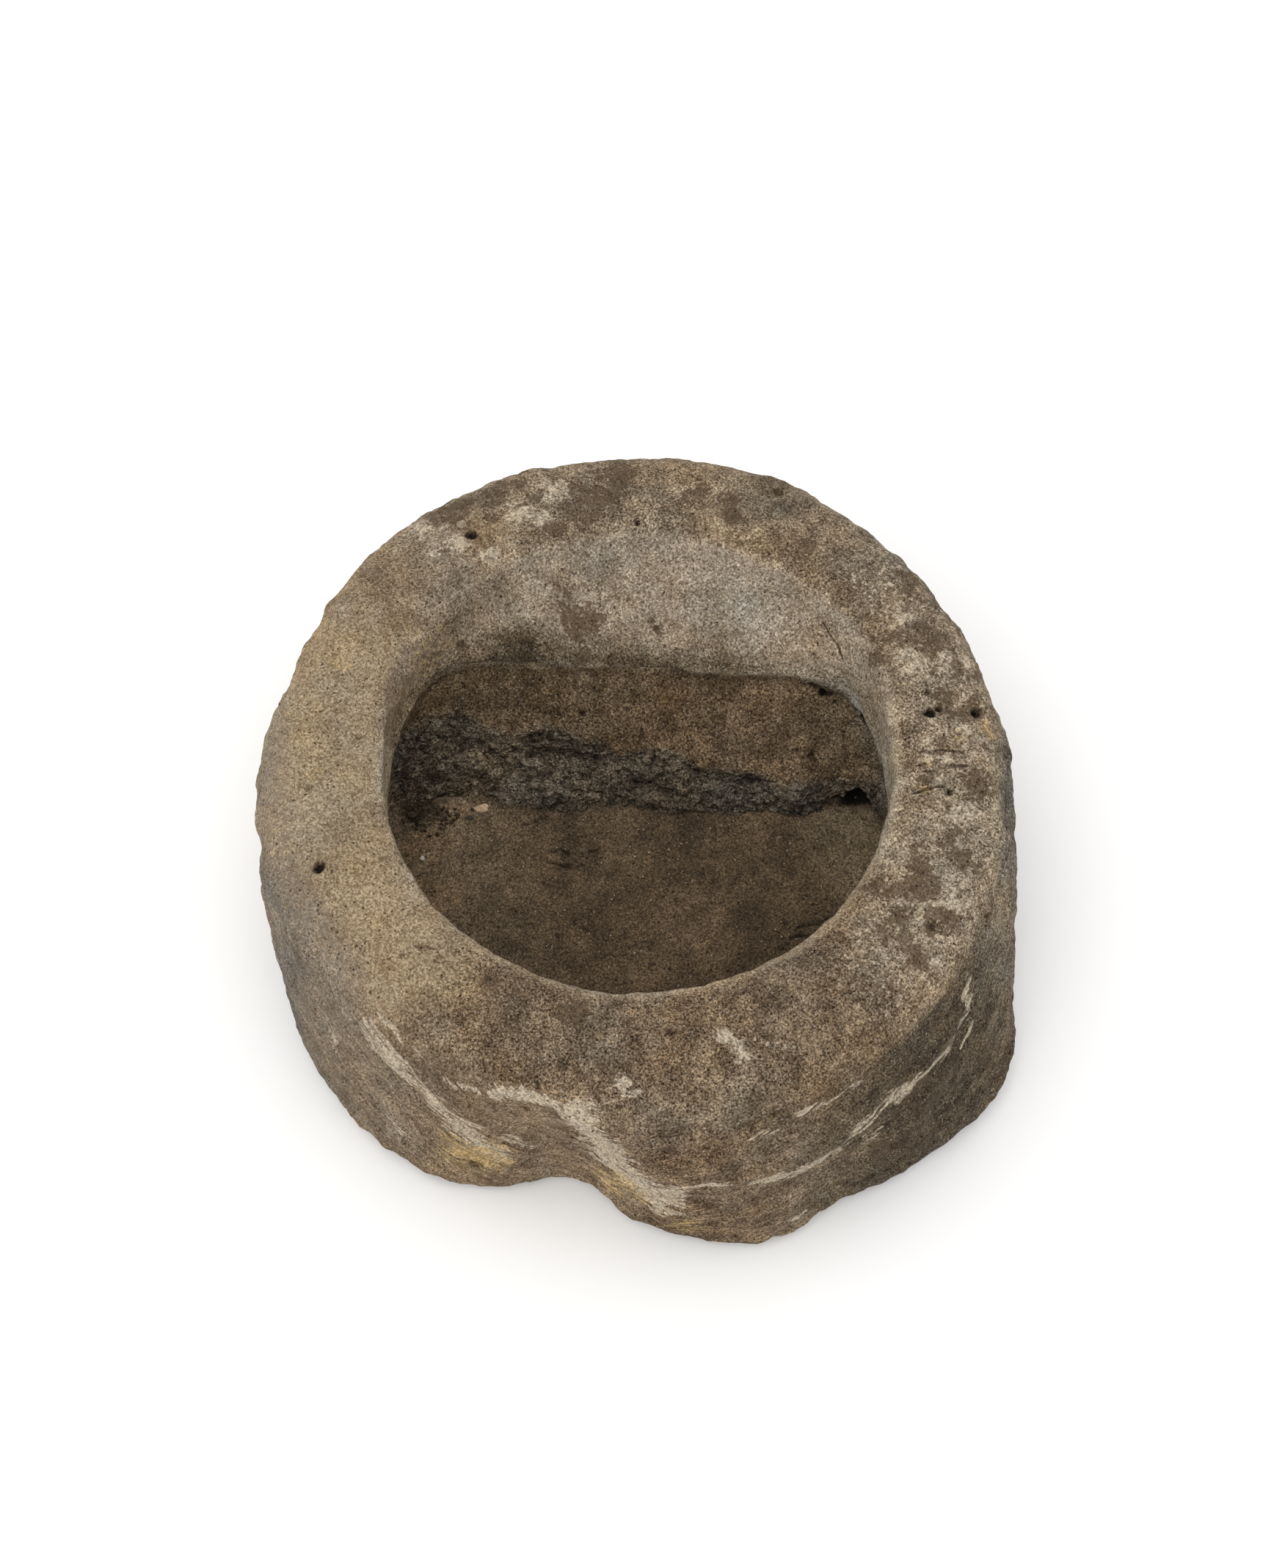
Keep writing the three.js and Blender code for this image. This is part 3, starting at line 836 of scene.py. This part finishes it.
def stone_material():
    """Porous grey-brown volcanic stone: grains, pores with painted shade, lichen, pale beds and
    stains, and painted shade in its cracks, holes and hollows.
    """
    shader = Shader("weathered volcanic stone")
    tone = shader.attribute("tone", "Color")
    speckle = shader.attribute("speckle")
    _, grain_number = shader.cells(850)
    grain = shader.ramp(grain_number, 0, 1, 0.62, 1.42)
    flecks = shader.ramp(shader.noise(760, 3, 0.8), 0.33, 0.67, -0.9, 1.2)
    flecks = shader.near_one(flecks, speckle)
    broad = shader.near_one(shader.ramp(shader.noise(55, 5, 0.6), 0.3, 0.7, -0.36, 0.38), speckle)
    colour = shader.shaded(tone, shader.product(grain, flecks, broad, STONE_BRIGHTNESS))

    across = shader.node("SeparateXYZ", {0: shader.where}).outputs
    inputs = {0: across[0], 1: across[1], 2: shader.product(shader.attribute("bed"), BED_SQUEEZE)}
    stretched = shader.node("CombineXYZ", inputs).outputs[0]
    beds = shader.noise(38, 7, 0.68, stretched)
    side = shader.attribute("side")
    bed_tone = shader.ramp(beds, 0.36, 0.62, 0.74, 1.22)
    colour = shader.mix(side, colour, shader.shaded(colour, bed_tone))

    patchy = shader.noise(230, 8, 0.84)
    along_beds = shader.ramp(shader.noise(42, 8, 0.72, stretched), 0.32, 0.68, -0.8, 0.6)
    blotchy = shader.ramp(shader.noise(270, 8, 0.84), 0.32, 0.68, -0.85, 0.7)
    ragged = shader.node("Mix", {"Factor": side, 2: blotchy, 3: along_beds}).outputs[0]
    pale = ragged_mask(shader, "pale", ragged, (0.44, 0.53, 0, 0.84))
    colour = shader.mix(pale, colour, shader.shaded(PALE_LIME[:3], grain))
    mottle = shader.math("ADD", shader.product(shader.attribute("mottle"), 0.42), patchy)
    lichen = shader.shaded(DARK_LICHEN[:3], shader.ramp(flecks, 0.4, 1.6, 0.75, 1.3))
    colour = shader.mix(shader.ramp(mottle, 0.71, 0.76, 0, 0.82), colour, lichen)
    stain = ragged_mask(shader, "stain", ragged, (0.1, 0.75, 0, 0.8))
    colour = shader.mix(stain, colour, shader.shaded(OCHRE, grain))
    cool = shader.product(shader.attribute("cool"), shader.ramp(patchy, 0.4, 0.6))
    colour = shader.mix(cool, colour, COOL_DUST)

    light = shader.specks(430, (0.3, 0.18), (0.7, 0.76))
    colour = shader.mix(shader.product(light, 0.5, speckle), colour, GRIT_LIGHT)
    # Painted shade: the pores are darkened as if shade lay in them.
    pore_shade = shader.specks(330, (0.27, 0.19), (0.66, 0.7))
    crack = shader.attribute("crack")
    # Painted shade: the rough foot's thin splits are darkened.
    split = shader.product(shader.splits(110), shader.attribute("rough"))
    shade = shader.attribute("shade")
    # Painted shade: the colour darkens in pores, under the shade mask, in the deep shade of cracks
    # and holes, and in splits.
    for mask, share in ((pore_shade, 0.3), (shade, 0.4), (crack, 0.08), (split, 0.42)):
        colour = shader.darkened(colour, mask, share)

    fine = shader.noise(420, 5, 0.6)
    coarse = shader.noise(170, 6, 0.7)
    # Painted shade: the colour darkens where the coarse bump is low.
    hollow_shade = shader.ramp(coarse, 0.34, 0.52, -0.34, 0.06)
    colour = shader.shaded(colour, shader.near_one(hollow_shade, speckle))
    colour = shader.warm_and_cool(colour, tone)
    height = shader.total(
        (fine, 1.7), (coarse, 3.0), (split, -1.5), (grain_number, 0.18), (pore_shade, -0.9), (crack, -2.5)
    )
    roughness = shader.ramp(flecks, 0.5, 1.5, 0.96, 0.84)
    return shader.finish(colour, roughness, height, 1.3 * MM)


def soil_material(name, base, light_share):
    """Packed, dusty soil with grains of its own size, and painted shade in its pores and hollows.
    """
    shader = Shader(name)
    tone = shader.attribute("tone", "Color")
    colour = shader.vector_math("MULTIPLY", {0: tone, 1: base})
    _, grain_number = shader.cells(900)
    cloudy = shader.ramp(shader.noise(720, 3, 0.8), 0.33, 0.67, 0.35, 1.7)
    broad = shader.ramp(shader.noise(45, 7, 0.75), 0.3, 0.7, 0.7, 1.3)
    grain = shader.ramp(grain_number, 0, 1, 0.75, 1.25)
    colour = shader.shaded(colour, shader.product(grain, cloudy, broad))
    light = shader.specks(460, (0.28, 0.16), (1 - light_share, 1))
    colour = shader.mix(shader.product(light, 0.8), colour, GRIT_LIGHT)
    # Painted shade: the pores are darkened as if shade lay in them.
    pore_shade = shader.specks(300, (0.25, 0.15), (0.66, 0.72))
    colour = shader.darkened(colour, pore_shade, 0.36, 1.03)
    # Painted shade: the colour darkens where the coarse bump is low.
    coarse = shader.noise(140, 6, 0.7)
    colour = shader.shaded(colour, shader.ramp(coarse, 0.32, 0.5, 0.6, 1.04))
    height = shader.total((shader.noise(400, 4, 0.6), 1.6), (coarse, 3.0), (pore_shade, -0.6))
    roughness = shader.ramp(grain_number, 0, 1, 0.97, 0.9)
    return shader.finish(colour, roughness, height, 1.2 * MM)


def pebble_material(name, base, speckle):
    """A loose stone: its own colour, clouded, with dark and light minerals."""
    shader = Shader(name)
    cloudy = shader.ramp(shader.noise(230, 6, 0.6), 0.25, 0.75, 0.7, 1.3)
    _, number = shader.cells(1100)
    colour = shader.shaded(base, shader.product(cloudy, shader.ramp(number, 0, 1, 0.82, 1.18)))
    dark = shader.ramp(shader.noise(520, 4, 0.6), 0.62, 0.72, 0, speckle)
    colour = shader.mix(dark, colour, DARK_LICHEN)
    height = shader.total((shader.noise(600, 4, 0.6), 1.0), (number, 0.3))
    roughness = shader.ramp(cloudy, 0.7, 1.3, 0.92, 0.78)
    return shader.finish(colour, roughness, height, 0.5 * MM)


# ---- the silt in the hollow

SILT_COLOUR = (0.096, 0.066, 0.039)
SILT_TUCK = 4  # how far the silt reaches into the wall on every side, in mm
SILT_STEP = 1.4  # between its points, from the middle outwards, in mm
SILT_SKIRT = 6  # how far its edge turns down, in mm
ARCH_REACH = 15  # how far the silt runs on under the arched hole, in mm

# Small pits in the silt: x, y, radius and depth, in mm.
SILT_PITS = [
    (-51, -3, 3.0, 2.0), (-51, -11, 2.6, 1.4), (-32, -1, 3.6, 2.6), (-36, -2, 2.2, 1.6),
    (-60, -48, 3.0, 1.4), (-102, -27, 2.4, 1.2), (-133, -15, 3.0, 1.4), (0, -78, 3.2, 2.0),
    (32, -34, 3.0, 1.4), (81, -25, 2.6, 1.4), (119, -53, 9.0, 1.4), (20, -60, 2.6, 1.2),
    (-10, -62, 2.4, 1.2), (-90, -10, 2.4, 1.2), (100, 6, 2.6, 1.2), (70, -90, 8.0, 1.2),
]

# Short shrinkage cracks in the silt: the ends of each line, in mm, seen from above.
SILT_CRACKS = [
    ((-60, -1), (-55, 1), (-49, -1)),
    ((-64, -8), (-56, -10), (-48, -12)),
    ((-80, 20), (-72, 22), (-66, 25)),
    ((-35, 0), (-29, 1)),
    ((104, -58), (114, -54), (124, -50)),
    ((98, -66), (108, -62), (116, -60)),
    ((78, -92), (84, -86), (88, -80)),
]


def silt_outline(count):
    """The edge of the CAD silt's top: its middle, then bearings and the radius at each."""
    points = points_of(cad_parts["silt_bed"].data)
    top = points[points[:, 2] > SILT_Z - 0.5 * MM][:, :2]
    middle = (top.min(0) + top.max(0)) / 2
    away = top - middle
    bearing = np.arctan2(away[:, 1], away[:, 0])
    slots = np.round((bearing + np.pi) / (2 * np.pi) * 360).astype(int) % 360
    edge = np.zeros(360)
    np.maximum.at(edge, slots, np.hypot(away[:, 0], away[:, 1]))
    known = np.flatnonzero(edge > 0.7 * np.median(edge[edge > 0]))
    angles = np.linspace(-np.pi, np.pi, count, endpoint=False)
    degrees = (angles + np.pi) / (2 * np.pi) * 360
    return middle, angles, np.interp(degrees, known, edge[known], period=360)


def silt_holes(points):
    """1 in small holes scattered over the silt, seen from above."""
    flat = points * (1, 1, 0)
    distance, number = cells(flat + 0.002 * noise(flat, 0.004, 68)[:, None], 0.022, 69)
    radius = 0.05 + 0.13 * (number - 0.5)
    return np.where(number > 0.5, ramp(distance, radius * 1.3, radius * 0.5), 0)


def silt_cracks(points):
    """1 along the shrinkage cracks of the silt and 0 beyond them."""
    drift = np.stack([noise(points * (1, 1, 0), 0.006, seed) for seed in (30, 31)], 1)
    flat = points[:, :2] / MM + 2.2 * drift
    nearest = np.min([line_distance(flat, crack) for crack in SILT_CRACKS], axis=0)
    return ramp(nearest, 1.5, 0.5)


def silt_height(points, to_wall):
    """How far the silt stands above the CAD top, given the distance to the wall, all in mm."""
    flat = points * (1, 1, 0)
    x, y, _ = (flat / MM).T
    calm = 0.45 + 0.55 * ramp(np.abs(x + 130), 30, 55)
    height = calm * (2.6 * noise(flat, 0.055, 60) + 1.8 * layered(flat, 0.016, 61, 4, 0.6))
    height += 0.5 * layered(flat, 0.006, 62, 2)
    height += (2.5 + 5 * layered(flat, 0.02, 67, 3)) * np.exp(-np.maximum(to_wall, 0) / 6)
    height -= 1.6 * silt_holes(points) + 1.3 * silt_cracks(points)
    wobble = 1 + 0.5 * noise(flat, 0.004, 63)
    for pit_x, pit_y, radius, depth in SILT_PITS:
        away = np.hypot(x - pit_x, y - pit_y) * wobble
        height -= depth * ramp(away, radius * 1.2, radius * 0.2)
    return height


def silt_mesh():
    """A round sheet of silt that fills the CAD outline and tucks under the walls."""
    spokes = 720
    middle, angles, edge = silt_outline(spokes)
    steps = int(edge.max() / (SILT_STEP * MM))
    shares = np.linspace(0, 1, steps + 1)[1:, None]
    reach = shares * (edge + SILT_TUCK * MM)
    grid = np.zeros((steps, spokes, 3))
    grid[:, :, 0] = middle[0] + reach * np.cos(angles)
    grid[:, :, 1] = middle[1] + reach * np.sin(angles)
    under_arch = ramp(np.abs(grid[:, :, 0] / MM - ARCH_X), 15, 9)
    grid[:, :, 1] += under_arch * ramp(grid[:, :, 1] / MM, 20, 36) * ARCH_REACH * MM
    top = np.concatenate([[(*middle, 0)], grid.reshape(-1, 3)])
    to_wall = np.concatenate([[100.0], ((edge - reach) / MM).ravel()])
    in_arch = np.concatenate([[0.0], under_arch.ravel()]) * ramp(top[:, 1] / MM, 33, 38)
    top[:, 2] = SILT_Z + (silt_height(top, to_wall) - 5 * in_arch) * MM
    skirt_z = SILT_Z - SILT_SKIRT * MM
    skirt = grid[-1] * (1, 1, 0) + (0, 0, skirt_z)
    points = np.concatenate([top, skirt, [(*middle, skirt_z)]])
    faces = wheel_faces(spokes, steps + 1)
    rim = len(points) - 1 - spokes
    for spoke in range(spokes):
        faces.append((rim + spoke, len(points) - 1, rim + (spoke + 1) % spokes))
    mesh = new_mesh("silt", points.tolist(), faces)
    paint_silt(mesh, np.concatenate([to_wall, np.zeros(spokes + 1)]))
    return mesh


def paint_silt(mesh, to_wall):
    """Tones that the silt's colour is multiplied by: damp spots, dust, and painted shade along the
    wall, in holes and cracks and under the arched hole.
    """
    points = points_of(mesh)
    x, y, _ = (points / MM).T
    light = 1 + 0.45 * layered(points, 0.06, 64, 4, 0.6) + 0.2 * layered(points, 0.015, 65, 3)
    damp = ramp(np.hypot((x + 148) * 0.7, y - 32) + 12 * layered(points, 0.015, 66, 3), 14, 7)
    damp = np.maximum(damp, 0.6 * ramp(np.hypot(x - 72, y + 50), 16, 6))
    light = light * (1 - 0.42 * damp)
    dusty = ramp(x + 0.3 * y, -60, -125) * (1 - damp)
    colours = light[:, None] * (1 + dusty[:, None] * np.array((0.75, 0.85, 0.95)))
    right_dust = ramp(x + 0.4 * y, 95, 150)
    colours = colours * (1 + right_dust[:, None] * np.array((0.45, 0.6, 0.66)))
    # Painted shade along the foot of the wall and in the silt's holes.
    colours = colours * (1 - 0.2 * ramp(to_wall, 7, 0) - 0.5 * silt_holes(points))[:, None]
    # Painted shade under the arched hole and in the shrinkage cracks.
    under_arch = ramp(np.abs(x - ARCH_X), 13, 9) * ramp(y, 35.5, 38)
    colours = colours * (1 - 0.9 * under_arch)[:, None] * (1 - 0.6 * silt_cracks(points))[:, None]
    set_tone(mesh, np.clip(colours, 0, 2))


# ---- loose pieces and grit


def detailed_copy(node, levels, rough, seed):
    """A CAD piece with more points and a broken, uneven surface; rough is in mm."""
    finer = ("SUBSURF", {"levels": levels, "subdivision_type": "SIMPLE"})
    mesh = evaluated_copy(merged_copy(node), [finer])
    points = points_of(mesh)
    size = np.ptp(points, axis=0).mean()
    lumps = layered(points, size * 0.45, seed, 4, 0.55)
    set_points(mesh, points + points_of(mesh, "normal") * (rough * lumps * MM)[:, None])
    set_tone(mesh, np.ones((len(points), 3)))
    return mesh


GRIT_COUNT = 330
CRUMB_COUNT = 190  # less those that would lie inside the wall
CRUMB_HEAP = np.array((-143, 27))  # x and y of the middle of the crumbs, in mm

CRUMB_SHAPE = bmesh.new()
bmesh.ops.create_icosphere(CRUMB_SHAPE, subdivisions=1, radius=1)
CRUMB_POINTS = np.array([v.co[:] for v in CRUMB_SHAPE.verts])
CRUMB_FACES = np.array([[v.index for v in f.verts] for f in CRUMB_SHAPE.faces])
CRUMB_SHAPE.free()
OPEN_SILT = np.array([30.0])  # a distance to the wall, in mm, at which it doesn't raise the silt


def scattered_grains(name, places, sizes, tones, random):
    """Many small broken grains on the silt as one mesh; sizes are radii in mm."""
    points = []
    for (x, y), size in zip(places, sizes):
        stretch = random.uniform(0.65, 1.25, 3)
        knocks = random.uniform(0.72, 1.2, (len(CRUMB_POINTS), 1))
        grain = CRUMB_POINTS * knocks * stretch * size
        turn = random.uniform(0, 2 * math.pi)
        cos, sin = math.cos(turn), math.sin(turn)
        grain = grain @ np.array(((cos, sin, 0), (-sin, cos, 0), (0, 0, 1)))
        height = silt_height(np.array([(x * MM, y * MM, 0.0)]), OPEN_SILT)[0]
        points.append((grain + (x, y, SILT_Z / MM + height + size * 0.35)) * MM)
    faces = [CRUMB_FACES + index * len(CRUMB_POINTS) for index in range(len(points))]
    mesh = new_mesh(name, np.concatenate(points).tolist(), np.concatenate(faces).tolist())
    set_tone(mesh, np.repeat(tones, len(CRUMB_POINTS), axis=0))
    return mesh


def grit_mesh(random):
    """Pale and buff sand grains spread over the silt."""
    middle, angles, edge = silt_outline(360)
    spoke = random.integers(0, 360, GRIT_COUNT)
    reach = np.sqrt(random.uniform(0, 1, GRIT_COUNT)) * 0.95 * edge[spoke]
    along = np.stack([np.cos(angles[spoke]), np.sin(angles[spoke])], 1)
    places = (middle + reach[:, None] * along) / MM
    sizes = 0.35 + 0.75 * random.uniform(0, 1, GRIT_COUNT) ** 4
    light = random.uniform(0.25, 1, (GRIT_COUNT, 1)) ** 1.3
    tones = light * np.array((1, 0.92, 0.78)) * 4.2
    return scattered_grains("grit", places, sizes, tones, random)


def crumbs_mesh(random):
    """Dark crumbs of soil in the left corner, at the foot of the back wall."""
    places = CRUMB_HEAP + random.normal(0, 1, (CRUMB_COUNT, 2)) * (12, 6)
    x, y = places.T
    places = places[(y < 35) & (x > -166 + 0.3 * (35 - y))]
    sizes = 0.5 + 1.3 * random.uniform(0, 1, len(places)) ** 2
    tones = random.uniform(0.35, 0.8, (len(places), 1)) * np.ones(3)
    return scattered_grains("crumbs", places, sizes, tones, random)


# ---- floor, light and camera


FLOOR_Z = GROUND_Z - 0.2 * MM
FLOOR_FLAT = 3.0  # the radius where the paper starts to rise
FLOOR_REACH = 8.0
FLOOR_STEEPNESS = 0.14


def paper_material():
    """Even white studio paper with a very faint grain."""
    shader = Shader("white paper")
    faint = shader.ramp(shader.noise(60, 3), 0.3, 0.7, 0.995, 1.0)
    height = shader.noise(300, 3)
    rough = shader.ramp(faint, 0.995, 1.0, 0.9, 0.92)
    return shader.finish(shader.shaded((0.96, 0.96, 0.96), faint), rough, height, 0.02 * MM)


def add_floor():
    """A round sheet of white paper, flat under the boulder, that curves up all round."""
    spokes, rings = 64, 24
    points = [(0, 0, FLOOR_Z)]
    for ring in range(rings):
        rise = (FLOOR_REACH - FLOOR_FLAT) * ring / (rings - 1)
        for spoke in range(spokes):
            turn = 2 * math.pi * spoke / spokes
            x = (FLOOR_FLAT + rise) * math.cos(turn)
            y = (FLOOR_FLAT + rise) * math.sin(turn)
            points.append((x, y, FLOOR_Z + FLOOR_STEEPNESS * rise ** 2))
    mesh = new_mesh("floor", points, wheel_faces(spokes, rings))
    dress(mesh, paper_material())
    floor = new_object("floor", mesh)


SKY_STRENGTH = 0.62
SUN_STRENGTH = 1.7


def add_light():
    """One broad lamp over the left shoulder of the camera, and a pale sky all round."""
    world = bpy.data.worlds.new("studio")
    bpy.context.scene.world = world
    world.use_nodes = True
    sky = world.node_tree.nodes["Background"]
    sky.inputs["Color"].default_value = (1, 1, 1, 1)
    sky.inputs["Strength"].default_value = SKY_STRENGTH
    lamp = bpy.data.lights.new("broad lamp", "SUN")
    lamp.energy = SUN_STRENGTH
    lamp.angle = 1.4
    lamp.color = (1, 0.99, 0.97)
    sun = new_object("broad lamp", lamp)
    towards = Vector((-0.2, -0.15, 1))
    sun.rotation_euler = towards.to_track_quat("Z", "Y").to_euler()


def add_camera():
    """A camera that frames the boulder as the photograph does."""
    camera = new_object("camera", bpy.data.cameras.new("camera"))
    away = Vector((0, -math.cos(CAMERA_ELEVATION), math.sin(CAMERA_ELEVATION)))
    camera.location = CAMERA_TARGET + CAMERA_DISTANCE * away
    camera.rotation_euler = away.to_track_quat("Z", "Y").to_euler()
    camera.data.lens = CAMERA_LENS
    camera.data.sensor_width = 36
    bpy.context.scene.camera = camera


# ---- putting it together


def build_stone():
    """The boulder itself."""
    mesh = fine_mesh("stone_body", STONE_VOXEL)
    place = carve_stone(mesh)
    paint_stone(mesh, place)
    add_piece("boulder", mesh, stone_material(), ["stone_body"])


def build_silt():
    """The silt, with the grains and crumbs that lie on it."""
    soil = soil_material("packed silt", SILT_COLOUR, 0.12)
    add_piece("silt", silt_mesh(), soil, ["silt_bed"])
    random = np.random.default_rng(5)
    add_piece("grit", grit_mesh(random), soil, [])
    add_piece("crumbs", crumbs_mesh(random), soil, [])
    for index in range(1, 6):
        node = f"soil_crumb_{index}"
        mesh = detailed_copy(node, 2, 0.8, 70 + index)
        dark = soil_material(f"dark soil {index}", (0.09, 0.068, 0.045), 0.05)
        add_piece(f"crumb_{index}", mesh, dark, [node])


def build_pebbles():
    """The pebble in the rim, and the stones that lie on the silt."""
    loose = [
        ("rim_pebble", "pale_stone", (0.31, 0.25, 0.18), 1.2, 0.4),
        ("stone_chip", "buff_stone", (0.46, 0.33, 0.21), 0.7, 0.15),
        ("buff_pebble", "buff_stone", (0.4, 0.32, 0.21), 0.5, 0.3),
        ("dark_pebble", "dark_stone", (0.06, 0.055, 0.05), 0.5, 0.2),
        ("white_pebble", "pale_stone", (0.55, 0.53, 0.48), 0.4, 0.2),
    ]
    for index, (node, slot, colour, rough, speckle) in enumerate(loose):
        mesh = detailed_copy(node, 3, rough, 80 + index)
        material = pebble_material(node.replace("_", " "), colour, speckle)
        add_piece(f"loose_{node}", mesh, material, [node])


build_stone()
build_silt()
build_pebbles()
add_floor()
add_light()
add_camera()
bpy.context.scene.view_settings.view_transform = "Standard"
